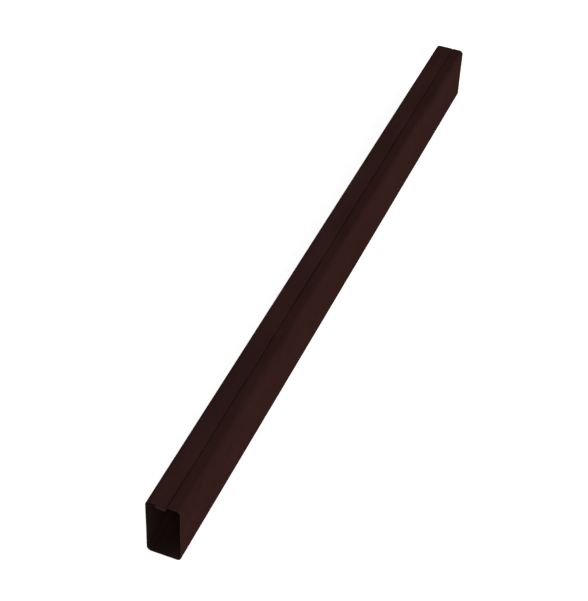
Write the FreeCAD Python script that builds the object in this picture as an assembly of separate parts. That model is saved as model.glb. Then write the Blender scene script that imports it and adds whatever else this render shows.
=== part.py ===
"""Straight rectangular downpipe, folded from one strip of coated sheet steel.

The strip is bent round four corners and its two edges are hooked into each other in a flat lock seam.
The seam runs along one narrow face and lies inside, so that it shows outside as one groove.
The front end is trimmed back a little on both sides of the seam, so that the end of the lock stands proud.
The pipe lies on its other narrow face: X across, Y along the pipe, Z up, origin in the middle of the base.
"""

import FreeCAD, Part
import math
import os

# Driving dimensions, in millimetres
WIDTH = 52.0  # outside, across a narrow face
HEIGHT = 100.0  # outside, across a wide face
LENGTH = 1250.0  # of the pipe's walls
SHEET_THICKNESS = 0.5  # steel with its coating
CORNER_RADIUS = 7.0  # outside radius of the four lengthwise corners
SEAM_FROM_LEFT = 31.5  # left wide face to the middle of the seam's groove
LOCK_WIDTH = 15.0  # middle of the groove to the far fold of the lock
LOCK_GAP = 0.8  # clear gap between two neighbouring layers of the lock
GROOVE_GAP = 0.2  # clear gap between the two lips of the groove, where they are closest
HOOK_END_GAP = 1.5  # clear gap between a hook's edge and the fold that it sits in
LOCK_PROUD = 3.0  # how far the lock stands out past the trimmed front end

# Sizes that follow from them
HALF_SHEET = SHEET_THICKNESS / 2
LAYER_PITCH = SHEET_THICKNESS + LOCK_GAP  # from one layer's middle to the next one's
FOLD_RADIUS = LAYER_PITCH  # middle line of a fold that goes round one layer
FOLD_INNER_RADIUS = FOLD_RADIUS - HALF_SHEET
JOGGLE_DROP = 3 * LAYER_PITCH  # from the outer layer of the lock down to its fourth
CORNER_MIDDLE_RADIUS = CORNER_RADIUS - HALF_SHEET
STRIP_LENGTH = LENGTH + LOCK_PROUD
FRONT_Y = -STRIP_LENGTH / 2

# Where the folds and edges of the lock are, across the pipe
SEAM_X = SEAM_FROM_LEFT - WIDTH / 2
COVER_FOLD_X = SEAM_X - GROOVE_GAP / 2 - HALF_SHEET - FOLD_RADIUS
JOGGLE_X = SEAM_X + GROOVE_GAP / 2 + HALF_SHEET
TRAY_FOLD_X = SEAM_X - LOCK_WIDTH + HALF_SHEET + FOLD_RADIUS
COVER_HOOK_END_X = TRAY_FOLD_X - FOLD_INNER_RADIUS + HOOK_END_GAP
TRAY_HOOK_END_X = COVER_FOLD_X + FOLD_INNER_RADIUS - HOOK_END_GAP
COVER_HOOK_Z = HEIGHT - HALF_SHEET - 2 * LAYER_PITCH

# The strip's middle line is a list of flat runs and bends, each a length or an angle and a radius
RUN = "run"
BEND = "bend"


def run(length):
    """A flat stretch of the strip."""
    return RUN, length, None


def bend(degrees, middle_radius):
    """A bend of the strip, to the left where degrees is positive."""
    return BEND, math.radians(degrees), middle_radius


def cover_hook():
    """The left edge of the strip: a hook that is folded back under the outer layer of the lock."""
    return [
        run(COVER_FOLD_X - COVER_HOOK_END_X),
        bend(180, FOLD_RADIUS),
    ]


def pipe_walls():
    """From the cover's fold round the four corners to the other side of the groove."""
    corner = bend(90, CORNER_MIDDLE_RADIUS)
    wide_face = run(HEIGHT - 2 * CORNER_RADIUS)
    return [
        run(COVER_FOLD_X + WIDTH / 2 - CORNER_RADIUS),
        corner,
        wide_face,
        corner,
        run(WIDTH - 2 * CORNER_RADIUS),
        corner,
        wide_face,
        corner,
        run(WIDTH / 2 - CORNER_RADIUS - JOGGLE_X - FOLD_RADIUS),
    ]


def tray_hook():
    """The right edge of the strip: a joggle down under the lock, then a hook up into the cover's hook."""
    return [
        bend(90, FOLD_RADIUS),
        run(JOGGLE_DROP - 2 * FOLD_RADIUS),
        bend(-90, FOLD_RADIUS),
        run(JOGGLE_X - FOLD_RADIUS - TRAY_FOLD_X),
        bend(-180, FOLD_RADIUS),
        run(TRAY_HOOK_END_X - TRAY_FOLD_X),
    ]


def turned(direction, angle):
    """A direction in the section, turned to the left by an angle in radians."""
    return FreeCAD.Vector(
        direction.x * math.cos(angle) - direction.z * math.sin(angle),
        0,
        direction.x * math.sin(angle) + direction.z * math.cos(angle),
    )


def strip_side(moves, to_left):
    """One face of the strip, to_left of its middle line: its edges in order, and its two end points."""
    heading = FreeCAD.Vector(1, 0, 0)
    to_side = turned(heading, math.pi / 2) * to_left
    start = FreeCAD.Vector(COVER_HOOK_END_X, FRONT_Y, COVER_HOOK_Z) + to_side
    point = start
    edges = []
    for kind, amount, middle_radius in moves:
        if kind == RUN:
            reached = point + heading * amount
            edges.append(Part.makeLine(point, reached))
        else:
            side_radius = math.copysign(middle_radius, amount) - to_left
            spoke = turned(heading, -math.pi / 2) * side_radius
            centre = point - spoke
            reached = centre + turned(spoke, amount)
            edges.append(Part.Arc(point, centre + turned(spoke, amount / 2), reached).toShape())
            heading = turned(heading, amount)
        point = reached
    return edges, start, point


def folded_pipe(moves):
    """The strip's section, closed at its two long edges, drawn out to the length of the strip."""
    inner, inner_start, inner_end = strip_side(moves, HALF_SHEET)
    outer, outer_start, outer_end = strip_side(moves, -HALF_SHEET)
    long_edges = [Part.makeLine(inner_start, outer_start), Part.makeLine(inner_end, outer_end)]
    outline = Part.Wire(Part.__sortEdges__(inner + outer + long_edges))
    return Part.Face(outline).extrude(FreeCAD.Vector(0, STRIP_LENGTH, 0))


def front_trim():
    """What is cut off the front end: all but the lock, from the groove to its far fold."""
    lock_depth = JOGGLE_DROP + SHEET_THICKNESS
    whole_end = Part.makeBox(
        WIDTH, LOCK_PROUD, HEIGHT, FreeCAD.Vector(-WIDTH / 2, FRONT_Y, 0)
    )
    lock_end = Part.makeBox(
        LOCK_WIDTH, LOCK_PROUD, lock_depth, FreeCAD.Vector(SEAM_X - LOCK_WIDTH, FRONT_Y, HEIGHT - lock_depth)
    )
    return whole_end.cut(lock_end)


def strip_width(moves):
    """The width of the flat strip before it is folded, along its middle line."""
    return sum(amount if kind == RUN else abs(amount) * radius for kind, amount, radius in moves)


folds = cover_hook() + pipe_walls() + tray_hook()
downpipe = folded_pipe(folds).cut(front_trim())
os.makedirs("parts", exist_ok=True)
downpipe.exportStep("parts/downpipe.step")
print(f"strip {strip_width(folds):.1f} mm wide, solid {downpipe.Volume:.0f} mm3, valid: {downpipe.isValid()}")
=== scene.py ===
"""Dresses a rectangular downpipe, folded from one strip of brown coated sheet steel, and stages it."""

import math

import bmesh
import bpy
from mathutils import Matrix, Vector


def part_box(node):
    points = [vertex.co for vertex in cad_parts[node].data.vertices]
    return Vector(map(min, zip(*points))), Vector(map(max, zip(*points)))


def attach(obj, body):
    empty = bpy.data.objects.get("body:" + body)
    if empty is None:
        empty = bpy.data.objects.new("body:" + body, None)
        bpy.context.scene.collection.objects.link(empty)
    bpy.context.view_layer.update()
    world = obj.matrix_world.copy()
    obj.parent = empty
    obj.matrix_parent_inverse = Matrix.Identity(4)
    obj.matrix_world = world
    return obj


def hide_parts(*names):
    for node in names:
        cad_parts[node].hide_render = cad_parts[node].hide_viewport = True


bl_info = {
    "name": "Rectangular Downpipe",
    "version": (1, 0, 0),
    "blender": (4, 5, 0),
    "location": "View3D > Sidebar > Downpipe",
    "description": "Folds a sheet-steel downpipe with a lock seam, coats it and stages it for a picture",
    "category": "Object",
}

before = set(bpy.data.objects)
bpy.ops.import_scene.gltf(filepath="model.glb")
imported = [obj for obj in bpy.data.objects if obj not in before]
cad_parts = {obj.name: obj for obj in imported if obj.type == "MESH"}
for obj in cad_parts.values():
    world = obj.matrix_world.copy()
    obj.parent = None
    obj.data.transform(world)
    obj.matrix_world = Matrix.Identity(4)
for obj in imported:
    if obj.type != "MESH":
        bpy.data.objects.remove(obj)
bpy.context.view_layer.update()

NODE = "downpipe"
BODY = "root"
MM = 0.001

PIPE_LOW, PIPE_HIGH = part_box(NODE)
PIPE_SIZE = PIPE_HIGH - PIPE_LOW

# Facets of the folded sheet
CORNER_STEPS = 12
FOLD_STEPS = 9
RUN_PIECE = 6 * MM
LENGTH_PIECE = 20 * MM
EDGE_STEPS = 2
SHARP_ANGLE = math.radians(60)

# Points closer than this are one
MERGE_DISTANCE = 0.001 * MM

# A point this far outside the lock still belongs to it
LOCK_SLACK = 0.01 * MM

# The bow of the wide faces comes and goes along the pipe, in a wave about its mean
BOW_MEAN = 0.7
BOW_SWING = 1 - BOW_MEAN
BOW_WAVE = 5.1  # radians a metre
BOW_PHASE = 0.8

# Over this length the ends are as flat as they were cut
END_FLAT = 80 * MM

# Vertex attributes that the coating's materials read
FOLD_STRAIN = "fold_strain"
TO_END = "to_end"
# How far each point looks up, which lays the film: dust and painted sheen outside, grime and painted shade
# on the inside bottom
FILM_BED = "film_bed"

# Which side of the sheet a coating is on
WEATHER_SIDE = 1.0
BACK_SIDE = -1.0

# Share of the film of dust and painted sheen kept on the strip beside the groove, less there so that the
# strip is darker as painted shade, and of a film that lies between its drifts
SHADED_STRIP_FILM = 0.45
FILM_BETWEEN_DRIFTS = 0.5

# Grain of the coating: the mean of a noise, and how much the layers count in tone, relief and roughness
NOISE_MEAN = 0.5
STREAK_TONE = 0.2
SPECKLE_TONE = 0.3
STREAK_RELIEF = 0.6
CLOUD_ROUGHNESS = 0.3
COAT_RELIEF = 0.04 * MM
RELIEF_STRENGTH = 0.5

# Wear of the coating: how far chips reach in, how much scuffs and the folds' dirt and painted shade cover,
# and which folds hold the dirt and painted shade
CHIP_REACH = 2.5 * MM
CHIP_EDGE = 0.15 * MM
SCUFF_SHARE = 0.08
FOLD_DIRT_AND_SHADE = 0.6
LOOSE_STRAIN = 0.05
TIGHT_STRAIN = 0.2

# Finish of the sheared edges
EDGE_ROUGHNESS = 0.6
EDGE_SPECULAR = 0.1
EDGE_RELIEF = 0.02 * MM

# Camera and floor
SENSOR_MM = 36.0
FLOOR_REACH = 10.0
FLOOR_GAP = 0.1 * MM
WHITE = (1.0, 1.0, 1.0, 1.0)


class DownpipeSheet(bpy.types.PropertyGroup):
    """Sizes of the folded sheet."""

    thickness: bpy.props.FloatProperty(
        name="Thickness",
        description="Sheet steel with its coating",
        default=0.5 * MM,
        unit="LENGTH",
    )
    corner_radius: bpy.props.FloatProperty(
        name="Corner Radius",
        description="Outside radius of the four lengthwise corners",
        default=7.0 * MM,
        unit="LENGTH",
    )
    seam_from_left: bpy.props.FloatProperty(
        name="Seam From Left",
        description="Left wide face to the middle of the seam's groove",
        default=31.5 * MM,
        unit="LENGTH",
    )
    lock_width: bpy.props.FloatProperty(
        name="Lock Width",
        description="Middle of the groove to the far fold of the lock",
        default=15.0 * MM,
        unit="LENGTH",
    )
    lock_gap: bpy.props.FloatProperty(
        name="Lock Gap",
        description="Clear gap between two neighbouring layers of the lock",
        default=0.8 * MM,
        unit="LENGTH",
    )
    groove_gap: bpy.props.FloatProperty(
        name="Groove Gap",
        description="Clear gap between the two lips of the groove, where they are closest",
        default=0.2 * MM,
        unit="LENGTH",
    )
    lock_proud: bpy.props.FloatProperty(
        name="Lock Proud",
        description="How far the lock stands out past the trimmed front end",
        default=3.0 * MM,
        unit="LENGTH",
    )
    hook_end_gap: bpy.props.FloatProperty(
        name="Hook End Gap",
        description="Clear gap between a hook's edge and the fold that it sits in",
        default=1.5 * MM,
        unit="LENGTH",
    )
    bow_depth: bpy.props.FloatProperty(
        name="Bow Depth",
        description="How far the wide faces bow inwards at most",
        default=0.35 * MM,
        unit="LENGTH",
    )
    strip_fall: bpy.props.FloatProperty(
        name="Strip Fall",
        description="How far the strip right of the groove curves down to it",
        default=0.6 * MM,
        unit="LENGTH",
    )
    edge_radius: bpy.props.FloatProperty(
        name="Edge Radius",
        description="Rounding of the sheared edges",
        default=0.06 * MM,
        unit="LENGTH",
    )


class DownpipeCoating(bpy.types.PropertyGroup):
    """Colours and finish of the coating and of the bare cut edges."""

    brown: bpy.props.FloatVectorProperty(
        name="Brown",
        description="Colour of the coating on the weather side",
        default=(0.0335, 0.0120, 0.0104, 1.0),
        size=4,
        subtype="COLOR",
    )
    back_brown: bpy.props.FloatVectorProperty(
        name="Back Coat",
        description="Colour of the thinner coating inside the pipe",
        default=(0.040, 0.0230, 0.0185, 1.0),
        size=4,
        subtype="COLOR",
    )
    # Dark colour laid as grime and painted shade in the tight folds and inside the pipe
    grime_and_shade: bpy.props.FloatVectorProperty(
        name="Grime And Shade",
        description="Colour of the dirt in the folds and inside the pipe",
        default=(0.012, 0.008, 0.007, 1.0),
        size=4,
        subtype="COLOR",
    )
    # This pale grey is laid as dust and as painted sheen on faces that look up, and on scuffs
    dust_and_sheen: bpy.props.FloatVectorProperty(
        name="Dust And Sheen",
        description="Colour of the film of dust on faces that look up, and of scuffs",
        default=(0.14, 0.14, 0.12, 1.0),
        size=4,
        subtype="COLOR",
    )
    zinc: bpy.props.FloatVectorProperty(
        name="Zinc",
        description="Colour of the sheared edges, where the coating ends",
        default=(0.036, 0.0225, 0.0185, 1.0),
        size=4,
        subtype="COLOR",
    )
    roughness: bpy.props.FloatProperty(
        name="Roughness",
        description="Roughness of the coating",
        default=0.8,
        min=0.0,
        max=1.0,
        subtype="FACTOR",
    )
    specular: bpy.props.FloatProperty(
        name="Specular Level",
        description="How strongly the coating mirrors its surroundings",
        default=0.003,
        min=0.0,
        max=1.0,
        subtype="FACTOR",
    )
    mottling: bpy.props.FloatProperty(
        name="Mottling",
        description="How much the coating varies in tone",
        default=0.9,
        min=0.0,
        max=1.0,
        subtype="FACTOR",
    )
    # Share of the film of dust and painted sheen on the outside's upward faces
    dust_and_sheen_share: bpy.props.FloatProperty(
        name="Dust Share",
        description="How much the film of dust covers outside",
        default=0.025,
        min=0.0,
        max=1.0,
        subtype="FACTOR",
    )
    # Share of the film of grime and painted shade on the inside bottom of the pipe
    grime_and_shade_share: bpy.props.FloatProperty(
        name="Grime Share",
        description="How much the film of dirt covers inside the pipe",
        default=0.15,
        min=0.0,
        max=1.0,
        subtype="FACTOR",
    )


class DownpipeStage(bpy.types.PropertyGroup):
    """Camera, lamps and floor."""

    azimuth: bpy.props.FloatProperty(
        name="Azimuth",
        description="How far the camera stands to the right of the pipe's front end",
        default=math.radians(20.29),
        subtype="ANGLE",
    )
    elevation: bpy.props.FloatProperty(
        name="Elevation",
        description="How far the camera looks down",
        default=math.radians(41.1),
        subtype="ANGLE",
    )
    roll: bpy.props.FloatProperty(
        name="Roll",
        description="How far the camera leans to the left",
        default=math.radians(2.66),
        subtype="ANGLE",
    )
    distance: bpy.props.FloatProperty(
        name="Distance",
        description="Camera to the point that it looks at",
        default=2.4937,
        unit="LENGTH",
    )
    aim: bpy.props.FloatVectorProperty(
        name="Aim",
        description="The point that the camera looks at",
        default=(-0.01668, -0.11239, 0.05),
        size=3,
        subtype="TRANSLATION",
        unit="LENGTH",
    )
    focal_length: bpy.props.FloatProperty(
        name="Focal Length",
        description="In millimetres, on a sensor whose long side is 36 mm",
        default=94.58,
        unit="CAMERA",
    )
    floor_colour: bpy.props.FloatVectorProperty(
        name="Floor",
        description="Colour of the floor",
        default=(0.9, 0.9, 0.9, 1.0),
        size=4,
        subtype="COLOR",
    )
    floor_white: bpy.props.FloatProperty(
        name="Floor White",
        description="How much the floor is lifted towards white where it is seen or mirrored",
        default=0.72,
        min=0.0,
        max=1.0,
        subtype="FACTOR",
    )
    sky: bpy.props.FloatProperty(
        name="Sky",
        description="Strength of the even light from all sides",
        default=0.28,
        min=0.0,
        max=1.0,
        subtype="FACTOR",
    )
    key_power: bpy.props.FloatProperty(
        name="Key Power",
        description="Power of the lamp on the right",
        default=67.0,
        subtype="POWER",
    )
    front_power: bpy.props.FloatProperty(
        name="Front Power",
        description="Power of the lamp in front",
        default=20.0,
        subtype="POWER",
    )
    left_power: bpy.props.FloatProperty(
        name="Left Power",
        description="Power of the weak lamp on the left",
        default=25.0,
        subtype="POWER",
    )


class SheetPen:
    """Draws the sheet's middle line across the pipe, one flat run or bend after another."""

    def __init__(self, start, heading, half_sheet):
        self.mesh = bmesh.new()
        self.strain = self.mesh.verts.layers.float.new(FOLD_STRAIN)
        self.tip = self.mesh.verts.new(start)
        self.heading = Vector(heading)
        self.half_sheet = half_sheet

    def run(self, length):
        """A flat stretch of the sheet, in pieces of about the same length."""
        pieces = max(1, round(length / RUN_PIECE))
        for _ in range(pieces):
            self.tip = bmesh.ops.extrude_vert_indiv(self.mesh, verts=[self.tip])["verts"][0]
            bmesh.ops.translate(self.mesh, verts=[self.tip], vec=self.heading * length / pieces)

    def bend(self, degrees, radius, steps):
        """A bend of the sheet, to the left where degrees is positive; it strains the coating."""
        angle = math.radians(degrees)
        to_centre = Matrix.Rotation(math.copysign(math.pi / 2, -angle), 3, "Y") @ self.heading
        before = len(self.mesh.verts)
        made = bmesh.ops.spin(
            self.mesh,
            geom=[self.tip],
            cent=self.tip.co + to_centre * radius,
            axis=(0, -1, 0),
            angle=angle,
            steps=steps,
        )
        self.mesh.verts.ensure_lookup_table()
        for vert in self.mesh.verts[before:]:
            vert[self.strain] = self.half_sheet / radius
        self.tip = next(part for part in made["geom_last"] if isinstance(part, bmesh.types.BMVert))
        self.tip[self.strain] = 0.0
        self.heading = Matrix.Rotation(-angle, 3, "Y") @ self.heading


class LockPlan:
    """Where the folds and edges of the lock seam are, across the pipe."""

    def __init__(self, sheet):
        half_sheet = sheet.thickness / 2
        self.pitch = sheet.thickness + sheet.lock_gap
        self.seam_x = sheet.seam_from_left + PIPE_LOW.x
        self.far_x = self.seam_x - sheet.lock_width
        self.low_z = PIPE_HIGH.z - 3 * self.pitch - sheet.thickness
        self.cover_fold_x = self.seam_x - sheet.groove_gap / 2 - half_sheet - self.pitch
        self.joggle_x = self.seam_x + sheet.groove_gap / 2 + half_sheet
        self.tray_fold_x = self.far_x + half_sheet + self.pitch
        hook_reach = self.pitch - half_sheet - sheet.hook_end_gap
        self.cover_end_x = self.tray_fold_x - hook_reach
        self.tray_end_x = self.cover_fold_x + hook_reach
        self.cover_end_z = PIPE_HIGH.z - half_sheet - 2 * self.pitch

    def holds(self, vert):
        """Whether a point of the section belongs to the lock."""
        x, _, z = vert.co
        return self.far_x - LOCK_SLACK < x < self.seam_x + LOCK_SLACK and z > self.low_z

    def is_beside(self, vert):
        """Whether a point belongs to the strip of the top face on the right of the groove."""
        return vert.co.x > self.seam_x and vert.co.z > self.low_z


def folded_section(sheet, lock):
    """The middle line of the sheet across the pipe's front end, from one edge round to the other."""
    width, _, height = PIPE_SIZE
    corner = sheet.corner_radius - sheet.thickness / 2
    left_x = PIPE_LOW.x + sheet.corner_radius
    right_x = PIPE_HIGH.x - sheet.corner_radius
    front_y = PIPE_LOW.y + sheet.lock_proud

    pen = SheetPen((lock.cover_end_x, front_y, lock.cover_end_z), (1, 0, 0), sheet.thickness / 2)
    pen.run(lock.cover_fold_x - lock.cover_end_x)
    pen.bend(180, lock.pitch, 2 * FOLD_STEPS)
    # Two runs, so that a point lies where the lock ends
    pen.run(lock.cover_fold_x - lock.far_x)
    pen.run(lock.far_x - left_x)
    for side in (height, width, height):
        pen.bend(90, corner, CORNER_STEPS)
        pen.run(side - 2 * sheet.corner_radius)
    pen.bend(90, corner, CORNER_STEPS)
    pen.run(right_x - lock.joggle_x - lock.pitch)
    pen.bend(90, lock.pitch, FOLD_STEPS)
    pen.run(lock.pitch)
    pen.bend(-90, lock.pitch, FOLD_STEPS)
    pen.run(lock.joggle_x - lock.pitch - lock.tray_fold_x)
    pen.bend(-180, lock.pitch, 2 * FOLD_STEPS)
    pen.run(lock.tray_end_x - lock.tray_fold_x)
    return pen.mesh


def draw_edges(mesh, edges, distance):
    """Extrudes edges along the pipe."""
    made = bmesh.ops.extrude_edge_only(mesh, edges=edges)
    verts = [part for part in made["geom"] if isinstance(part, bmesh.types.BMVert)]
    bmesh.ops.translate(mesh, verts=verts, vec=(0, distance, 0))


def runs_along(edge):
    """Whether an edge lies along the pipe, and not across it."""
    return abs(edge.verts[0].co.y - edge.verts[1].co.y) > MM


def draw_out(mesh, sheet, lock):
    """Draws the section out to the pipe's length, and the lock out of the front end."""
    front_edges = mesh.edges[:]
    lock_edges = [edge for edge in front_edges if all(lock.holds(vert) for vert in edge.verts)]
    length = PIPE_SIZE.y - sheet.lock_proud
    draw_edges(mesh, front_edges, length)
    along = [edge for edge in mesh.edges if runs_along(edge)]
    cuts = round(length / LENGTH_PIECE) - 1
    bmesh.ops.subdivide_edges(mesh, edges=along, cuts=cuts, use_grid_fill=True)
    draw_edges(mesh, lock_edges, -sheet.lock_proud)
    bmesh.ops.remove_doubles(mesh, verts=mesh.verts[:], dist=MERGE_DISTANCE)
    bmesh.ops.recalc_face_normals(mesh, faces=mesh.faces[:])
    outermost = max(mesh.faces, key=lambda face: face.calc_center_median().x)
    if outermost.normal.x < 0:
        bmesh.ops.reverse_faces(mesh, faces=mesh.faces[:])


def mark_ends(mesh):
    """Stores how far each point of the sheet is from the nearest sheared end."""
    to_end = mesh.verts.layers.float.new(TO_END)
    for vert in mesh.verts:
        vert[to_end] = min(vert.co.y - PIPE_LOW.y, PIPE_HIGH.y - vert.co.y)
    for edge in mesh.edges:
        if edge.is_boundary and not runs_along(edge):
            for vert in edge.verts:
                vert[to_end] = 0.0


def way_from(start, end, value):
    """How far a value has come from start to end, as a share from 0 to 1."""
    return min(max((value - start) / (end - start), 0.0), 1.0)


def ease_faces(mesh, sheet, lock):
    """Gives the faces the slight bow and fall of folded sheet, always inwards of the flat faces."""
    radius = sheet.corner_radius
    strip_left = lock.joggle_x + lock.pitch
    strip_right = PIPE_HIGH.x - radius
    for vert in mesh.verts:
        x, y, z = vert.co
        if abs(x) > PIPE_HIGH.x - sheet.thickness:
            up = way_from(radius, PIPE_HIGH.z - radius, z)
            bow = sheet.bow_depth * (BOW_MEAN + BOW_SWING * math.sin(BOW_WAVE * y + BOW_PHASE))
            vert.co.x -= math.copysign(bow * math.sin(math.pi * up) ** 2, x)
        if lock.is_beside(vert):
            to_groove = way_from(strip_right, strip_left, x)
            inset = way_from(PIPE_HIGH.y, PIPE_HIGH.y - END_FLAT, abs(y))
            vert.co.z -= sheet.strip_fall * to_groove**2 * math.sin(math.pi / 2 * inset) ** 2


def mark_film_bed(mesh, lock):
    """Stores how far the weather side looks up, where dust and painted sheen lie, and less on the strip
    beside the groove, as painted shade there.
    """
    mesh.normal_update()
    bed = mesh.verts.layers.float.new(FILM_BED)
    for vert in mesh.verts:
        vert[bed] = vert.normal.z * (SHADED_STRIP_FILM if lock.is_beside(vert) else 1.0)


def folded_sheet(sheet):
    """The middle face of the folded sheet, which has no thickness yet."""
    lock = LockPlan(sheet)
    mesh = folded_section(sheet, lock)
    draw_out(mesh, sheet, lock)
    mark_ends(mesh)
    ease_faces(mesh, sheet, lock)
    mark_film_bed(mesh, lock)
    for face in mesh.faces:
        face.smooth = True
    return mesh


def add_object(name, mesh):
    """Turns a bmesh into an object of the scene."""
    data = bpy.data.meshes.new(name)
    mesh.to_mesh(data)
    mesh.free()
    made = bpy.data.objects.new(name, data)
    bpy.context.scene.collection.objects.link(made)
    return made


def give_wall(piece, sheet):
    """Gives the sheet its thickness, with its back and rim on the next materials, and rounds its edges."""
    wall = piece.modifiers.new("wall", "SOLIDIFY")
    wall.thickness = sheet.thickness
    wall.offset = 0.0
    wall.use_even_offset = True
    wall.material_offset = 1
    wall.material_offset_rim = 2
    rounding = piece.modifiers.new("rounding", "BEVEL")
    rounding.width = sheet.edge_radius
    rounding.segments = EDGE_STEPS
    rounding.profile = 0.5
    rounding.limit_method = "ANGLE"
    rounding.angle_limit = SHARP_ANGLE
    rounding.harden_normals = True
    rounding.material = -1


def place_node(tree, kind, inputs, **settings):
    """Adds a node to a tree. Each of its inputs is a value, or the output that feeds it."""
    node = tree.nodes.new(kind)
    for name, value in settings.items():
        setattr(node, name, value)
    for key, value in inputs.items():
        if isinstance(value, bpy.types.NodeSocket):
            tree.links.new(value, node.inputs[key])
        else:
            node.inputs[key].default_value = value
    return node


def place_group(tree, group, inputs):
    """Adds a node group to a tree and returns what it puts out."""
    return place_node(tree, "ShaderNodeGroup", inputs, node_tree=group).outputs


def attribute(tree, name):
    """A value that the mesh stores at its points."""
    return place_node(tree, "ShaderNodeAttribute", {}, attribute_name=name).outputs["Fac"]


def math_node(tree, operation, *values, clamp=False):
    """The result of one step of arithmetic with two or three values."""
    inputs = dict(enumerate(values))
    return place_node(tree, "ShaderNodeMath", inputs, operation=operation, use_clamp=clamp).outputs[0]


def ramp(tree, value, low, high):
    """A smooth step from 0 where a value is low to 1 where it is high."""
    node = place_node(
        tree,
        "ShaderNodeMapRange",
        {"Value": value, "From Min": low, "From Max": high},
        interpolation_type="SMOOTHSTEP",
    )
    return node.outputs[0]


def blend(tree, share, first, second, blend_type="MIX"):
    """A colour that is mixed from two others, by the sockets that a Mix node has for colours."""
    node = place_node(
        tree,
        "ShaderNodeMix",
        {0: share, 6: first, 7: second},
        data_type="RGBA",
        blend_type=blend_type,
    )
    return node.outputs[2]


def noise(tree, vector, across, along, detail=2.0):
    """Noise whose spots have one size across the pipe and another along it, in metres."""
    mapping = place_node(
        tree,
        "ShaderNodeMapping",
        {"Vector": vector, "Scale": (1 / across, 1 / along, 1 / across)},
    )
    texture = place_node(
        tree,
        "ShaderNodeTexNoise",
        {"Vector": mapping.outputs[0], "Scale": 1.0, "Detail": detail},
    )
    return texture.outputs[0]


def new_group(name, inputs, outputs):
    """An empty shader node group with its group input and output nodes."""
    tree = bpy.data.node_groups.new(name, "ShaderNodeTree")
    for socket, kind in inputs.items():
        tree.interface.new_socket(socket, in_out="INPUT", socket_type=kind)
    for socket, kind in outputs.items():
        tree.interface.new_socket(socket, in_out="OUTPUT", socket_type=kind)
    return tree, tree.nodes.new("NodeGroupInput").outputs, tree.nodes.new("NodeGroupOutput").inputs


def sheet_grain_group():
    """Tone and relief of coil-coated sheet: cloudy patches, streaks along the strip and fine grain."""
    tree, given, result = new_group(
        "sheet_grain",
        {"Vector": "NodeSocketVector", "Amount": "NodeSocketFloat"},
        {"Tone": "NodeSocketFloat", "Cloud": "NodeSocketFloat", "Height": "NodeSocketFloat"},
    )
    place = given["Vector"]
    cloud = noise(tree, place, across=45 * MM, along=160 * MM, detail=4.0)
    streak = noise(tree, place, across=3 * MM, along=500 * MM)
    speckle = noise(tree, place, across=1.2 * MM, along=1.5 * MM)
    peel = noise(tree, place, across=1.1 * MM, along=1.4 * MM)

    mixed = math_node(tree, "MULTIPLY_ADD", streak, STREAK_TONE, cloud)
    mixed = math_node(tree, "MULTIPLY_ADD", speckle, SPECKLE_TONE, mixed)
    swing = math_node(tree, "SUBTRACT", mixed, NOISE_MEAN * (1 + STREAK_TONE + SPECKLE_TONE))
    tree.links.new(math_node(tree, "MULTIPLY_ADD", swing, given["Amount"], 1.0), result["Tone"])
    tree.links.new(cloud, result["Cloud"])
    tree.links.new(math_node(tree, "MULTIPLY_ADD", streak, STREAK_RELIEF, peel), result["Height"])
    return tree


def coat_wear_and_shade_group():
    """Masks for chips where the sheet was sheared, dirt and painted shade in the tight folds and scuffs
    along the pipe.
    """
    tree, given, result = new_group(
        "coat_wear_and_shade",
        {"Vector": "NodeSocketVector"},
        {"Chip": "NodeSocketFloat", "Grime And Shade": "NodeSocketFloat", "Scuff": "NodeSocketFloat"},
    )
    place = given["Vector"]
    flakes = noise(tree, place, across=0.9 * MM, along=0.9 * MM, detail=3.0)
    reach = math_node(tree, "MULTIPLY", ramp(tree, flakes, low=0.45, high=0.8), CHIP_REACH)
    bared = math_node(tree, "SUBTRACT", reach, attribute(tree, TO_END))
    tree.links.new(ramp(tree, bared, low=0.0, high=CHIP_EDGE), result["Chip"])

    # Dirt and painted shade in the tight folds: the groove's lips and the folds of the lock
    tight = ramp(tree, attribute(tree, FOLD_STRAIN), low=LOOSE_STRAIN, high=TIGHT_STRAIN)
    held = math_node(tree, "MULTIPLY", tight, FOLD_DIRT_AND_SHADE)
    patches = noise(tree, place, across=10 * MM, along=50 * MM, detail=3.0)
    dirt_and_shade = math_node(tree, "MULTIPLY", held, ramp(tree, patches, low=0.3, high=0.7))
    tree.links.new(dirt_and_shade, result["Grime And Shade"])

    lines = noise(tree, place, across=1.2 * MM, along=90 * MM, detail=1.0)
    rubbed = ramp(tree, noise(tree, place, across=35 * MM, along=120 * MM), low=0.5, high=0.7)
    scuff = math_node(tree, "MULTIPLY", ramp(tree, lines, low=0.62, high=0.78), rubbed)
    tree.links.new(scuff, result["Scuff"])
    return tree


def film_and_painted_light_group():
    """A thin film on what looks up, blown or washed into faint drifts along the pipe: dust and painted
    sheen outside, grime and painted shade on the inside bottom.
    """
    tree, given, result = new_group(
        "film_and_painted_light",
        {"Vector": "NodeSocketVector", "Upward": "NodeSocketFloat", "Amount": "NodeSocketFloat"},
        {"Film": "NodeSocketFloat"},
    )
    patches = noise(tree, given["Vector"], across=20 * MM, along=120 * MM, detail=3.0)
    drift = math_node(tree, "ADD", ramp(tree, patches, low=0.2, high=0.8), FILM_BETWEEN_DRIFTS)
    level = ramp(tree, given["Upward"], low=0.0, high=1.0)
    thick = math_node(tree, "MULTIPLY", level, given["Amount"])
    tree.links.new(math_node(tree, "MULTIPLY", thick, drift), result["Film"])
    return tree


def new_material(name):
    """A material, its node tree and its shader."""
    material = bpy.data.materials.new(name)
    material.use_nodes = True
    return material, material.node_tree, material.node_tree.nodes["Principled BSDF"]


def object_place(tree):
    """Where a point is on the object."""
    return tree.nodes.new("ShaderNodeTexCoord").outputs["Object"]


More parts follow.
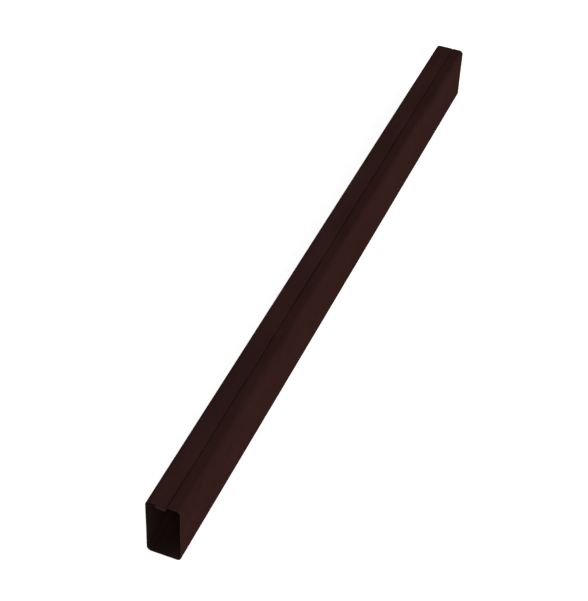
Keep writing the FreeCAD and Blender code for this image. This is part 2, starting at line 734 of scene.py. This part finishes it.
def add_relief(tree, shader, height, depth):
    """Gives a shader a fine relief of a depth in metres."""
    bump = place_node(
        tree,
        "ShaderNodeBump",
        {"Strength": RELIEF_STRENGTH, "Distance": depth, "Height": height},
    )
    tree.links.new(bump.outputs[0], shader.inputs["Normal"])


def coating_material(name, coating, groups, colour, film, film_share, side):
    """Coil coating with its grain, scuffs, a film on what looks up (dust and painted sheen outside, grime
    and painted shade inside), folds darkened by dirt and painted shade, and chipped ends.
    """
    material, tree, shader = new_material(name)
    place = object_place(tree)
    grain = place_group(tree, groups["sheet_grain"], {"Vector": place, "Amount": coating.mottling})
    marks = place_group(tree, groups["coat_wear_and_shade"], {"Vector": place})
    upward = math_node(tree, "MULTIPLY", attribute(tree, FILM_BED), side)
    laid_film = place_group(
        tree,
        groups["film_and_painted_light"],
        {"Vector": place, "Upward": upward, "Amount": film_share},
    )

    coat = blend(tree, 1.0, colour, grain["Tone"], "MULTIPLY")
    coat = blend(tree, math_node(tree, "MULTIPLY", marks["Scuff"], SCUFF_SHARE), coat, coating.dust_and_sheen)
    # Film on what looks up: dust and painted sheen outside, grime and painted shade on the inside bottom
    coat = blend(tree, laid_film["Film"], coat, film)
    # Dirt and painted shade in the tight folds
    coat = blend(tree, marks["Grime And Shade"], coat, coating.grime_and_shade)
    coat = blend(tree, marks["Chip"], coat, coating.zinc)
    tree.links.new(coat, shader.inputs["Base Color"])

    swing = math_node(tree, "SUBTRACT", grain["Cloud"], NOISE_MEAN)
    patchy = math_node(tree, "MULTIPLY_ADD", swing, CLOUD_ROUGHNESS, coating.roughness, clamp=True)
    tree.links.new(patchy, shader.inputs["Roughness"])
    shader.inputs["Specular IOR Level"].default_value = coating.specular
    add_relief(tree, shader, grain["Height"], COAT_RELIEF)
    return material


def cut_edge_material(coating, groups):
    """Galvanized steel where the sheet was sheared, with the coating dragged over it in places."""
    material, tree, shader = new_material("sheared_edge")
    place = object_place(tree)
    grain = place_group(tree, groups["sheet_grain"], {"Vector": place})
    patches = noise(tree, place, across=2.2 * MM, along=2.2 * MM, detail=3.0)
    dragged = ramp(tree, patches, low=0.4, high=0.6)
    tree.links.new(blend(tree, dragged, coating.zinc, coating.brown), shader.inputs["Base Color"])
    shader.inputs["Roughness"].default_value = EDGE_ROUGHNESS
    shader.inputs["Specular IOR Level"].default_value = EDGE_SPECULAR
    add_relief(tree, shader, grain["Height"], EDGE_RELIEF)
    return material


def sheet_materials(coating):
    """The materials of the sheet's front, its back and its rim, in that order."""
    trees = (sheet_grain_group(), coat_wear_and_shade_group(), film_and_painted_light_group())
    groups = {tree.name: tree for tree in trees}
    weather_side = coating_material(
        "brown_coating",
        coating,
        groups,
        colour=coating.brown,
        film=coating.dust_and_sheen,
        film_share=coating.dust_and_sheen_share,
        side=WEATHER_SIDE,
    )
    # Inside, the film on what looks up is grime and painted shade on the bottom
    back_side = coating_material(
        "back_coat",
        coating,
        groups,
        colour=coating.back_brown,
        film=coating.grime_and_shade,
        film_share=coating.grime_and_shade_share,
        side=BACK_SIDE,
    )
    return weather_side, back_side, cut_edge_material(coating, groups)


class DOWNPIPE_OT_fold_sheet(bpy.types.Operator):
    """Fold the sheet into the pipe, close it with the lock seam and coat it"""

    bl_idname = "downpipe.fold_sheet"
    bl_label = "Fold Sheet"

    def execute(self, context):
        sheet = context.scene.downpipe_sheet
        piece = add_object("folded_sheet", folded_sheet(sheet))
        for material in sheet_materials(context.scene.downpipe_coating):
            piece.data.materials.append(material)
        give_wall(piece, sheet)
        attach(piece, BODY)
        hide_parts(NODE)
        return {"FINISHED"}


def add_camera(stage):
    """The camera, at the picture's viewing angle."""
    back = Vector((
        math.sin(stage.azimuth) * math.cos(stage.elevation),
        -math.cos(stage.azimuth) * math.cos(stage.elevation),
        math.sin(stage.elevation),
    ))
    data = bpy.data.cameras.new("camera")
    data.sensor_width = SENSOR_MM
    data.lens = stage.focal_length
    camera = bpy.data.objects.new("camera", data)
    place = Matrix.Translation(Vector(stage.aim) + back * stage.distance)
    turn = (-back).to_track_quat("-Z", "Y").to_matrix().to_4x4()
    camera.matrix_world = place @ turn @ Matrix.Rotation(stage.roll, 4, "Z")
    bpy.context.scene.collection.objects.link(camera)
    bpy.context.scene.camera = camera


def where_seen(tree):
    """1 where a surface is seen, mirrored or seen through, and 0 where it only lights others."""
    path = tree.nodes.new("ShaderNodeLightPath").outputs
    seen = math_node(tree, "MAXIMUM", path["Is Camera Ray"], path["Is Glossy Ray"])
    return math_node(tree, "MAXIMUM", seen, path["Is Transmission Ray"])


def floor_material(stage):
    """Pale matt floor that looks white, apart from the object's shadow."""
    material, tree, shader = new_material("floor")
    lift = math_node(tree, "MULTIPLY", where_seen(tree), stage.floor_white)
    tree.links.new(lift, shader.inputs["Emission Strength"])
    shader.inputs["Emission Color"].default_value = WHITE
    shader.inputs["Base Color"].default_value = stage.floor_colour
    shader.inputs["Roughness"].default_value = 1.0
    shader.inputs["Specular IOR Level"].default_value = 0.0
    return material


def add_floor(stage):
    """A plain floor, just under the pipe."""
    mesh = bmesh.new()
    bmesh.ops.create_grid(mesh, x_segments=1, y_segments=1, size=FLOOR_REACH)
    bmesh.ops.translate(mesh, verts=mesh.verts[:], vec=(0, 0, PIPE_LOW.z - FLOOR_GAP))
    floor = add_object("floor", mesh)
    floor.data.materials.append(floor_material(stage))


def white_sky(stage):
    """Even light from all sides, from a sky that looks white."""
    world = bpy.data.worlds.new("white_sky")
    world.use_nodes = True
    tree = world.node_tree
    background = tree.nodes["Background"]
    background.inputs["Color"].default_value = WHITE
    strength = math_node(tree, "MAXIMUM", where_seen(tree), stage.sky)
    tree.links.new(strength, background.inputs["Strength"])
    return world


def add_lamp(name, place, size, power):
    """A soft lamp that looks at the middle of the pipe."""
    data = bpy.data.lights.new(name, "AREA")
    data.shape = "RECTANGLE"
    data.size, data.size_y = size
    data.energy = power
    lamp = bpy.data.objects.new(name, data)
    lamp.location = place
    aim = (PIPE_LOW + PIPE_HIGH) / 2 - Vector(place)
    lamp.rotation_euler = aim.to_track_quat("-Z", "Y").to_euler()
    bpy.context.scene.collection.objects.link(lamp)


class DOWNPIPE_OT_set_stage(bpy.types.Operator):
    """Set up the camera, the lamps and the floor"""

    bl_idname = "downpipe.set_stage"
    bl_label = "Set Stage"

    def execute(self, context):
        stage = context.scene.downpipe_stage
        add_camera(stage)
        add_floor(stage)
        add_lamp("key_lamp", place=(3.0, 0.5, 1.85), size=(3.0, 1.5), power=stage.key_power)
        add_lamp("front_lamp", place=(1.0, -3.0, 1.4), size=(1.5, 1.0), power=stage.front_power)
        add_lamp("left_lamp", place=(-3.0, -0.6, 1.0), size=(3.0, 1.5), power=stage.left_power)
        context.scene.world = white_sky(stage)
        context.scene.view_settings.view_transform = "Standard"
        return {"FINISHED"}


class DOWNPIPE_PT_sidebar(bpy.types.Panel):
    """Settings and steps, in the 3D view's sidebar"""

    bl_idname = "DOWNPIPE_PT_sidebar"
    bl_label = "Downpipe"
    bl_space_type = "VIEW_3D"
    bl_region_type = "UI"
    bl_category = "Downpipe"

    def draw(self, context):
        scene = context.scene
        for group in (scene.downpipe_sheet, scene.downpipe_coating, scene.downpipe_stage):
            box = self.layout.box()
            for name in group.bl_rna.properties.keys():
                if name not in ("rna_type", "name"):
                    box.prop(group, name)
        for operator in (DOWNPIPE_OT_fold_sheet, DOWNPIPE_OT_set_stage):
            self.layout.operator(operator.bl_idname)


CLASSES = (
    DownpipeSheet,
    DownpipeCoating,
    DownpipeStage,
    DOWNPIPE_OT_fold_sheet,
    DOWNPIPE_OT_set_stage,
    DOWNPIPE_PT_sidebar,
)


def register():
    """Adds the settings, the operators and the panel to Blender."""
    for entry in CLASSES:
        bpy.utils.register_class(entry)
    bpy.types.Scene.downpipe_sheet = bpy.props.PointerProperty(type=DownpipeSheet)
    bpy.types.Scene.downpipe_coating = bpy.props.PointerProperty(type=DownpipeCoating)
    bpy.types.Scene.downpipe_stage = bpy.props.PointerProperty(type=DownpipeStage)


def unregister():
    """Takes out of Blender what register added."""
    del bpy.types.Scene.downpipe_stage
    del bpy.types.Scene.downpipe_coating
    del bpy.types.Scene.downpipe_sheet
    for entry in reversed(CLASSES):
        bpy.utils.unregister_class(entry)


def main():
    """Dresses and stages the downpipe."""
    register()
    bpy.ops.downpipe.fold_sheet()
    bpy.ops.downpipe.set_stage()


if __name__ == "__main__":
    main()
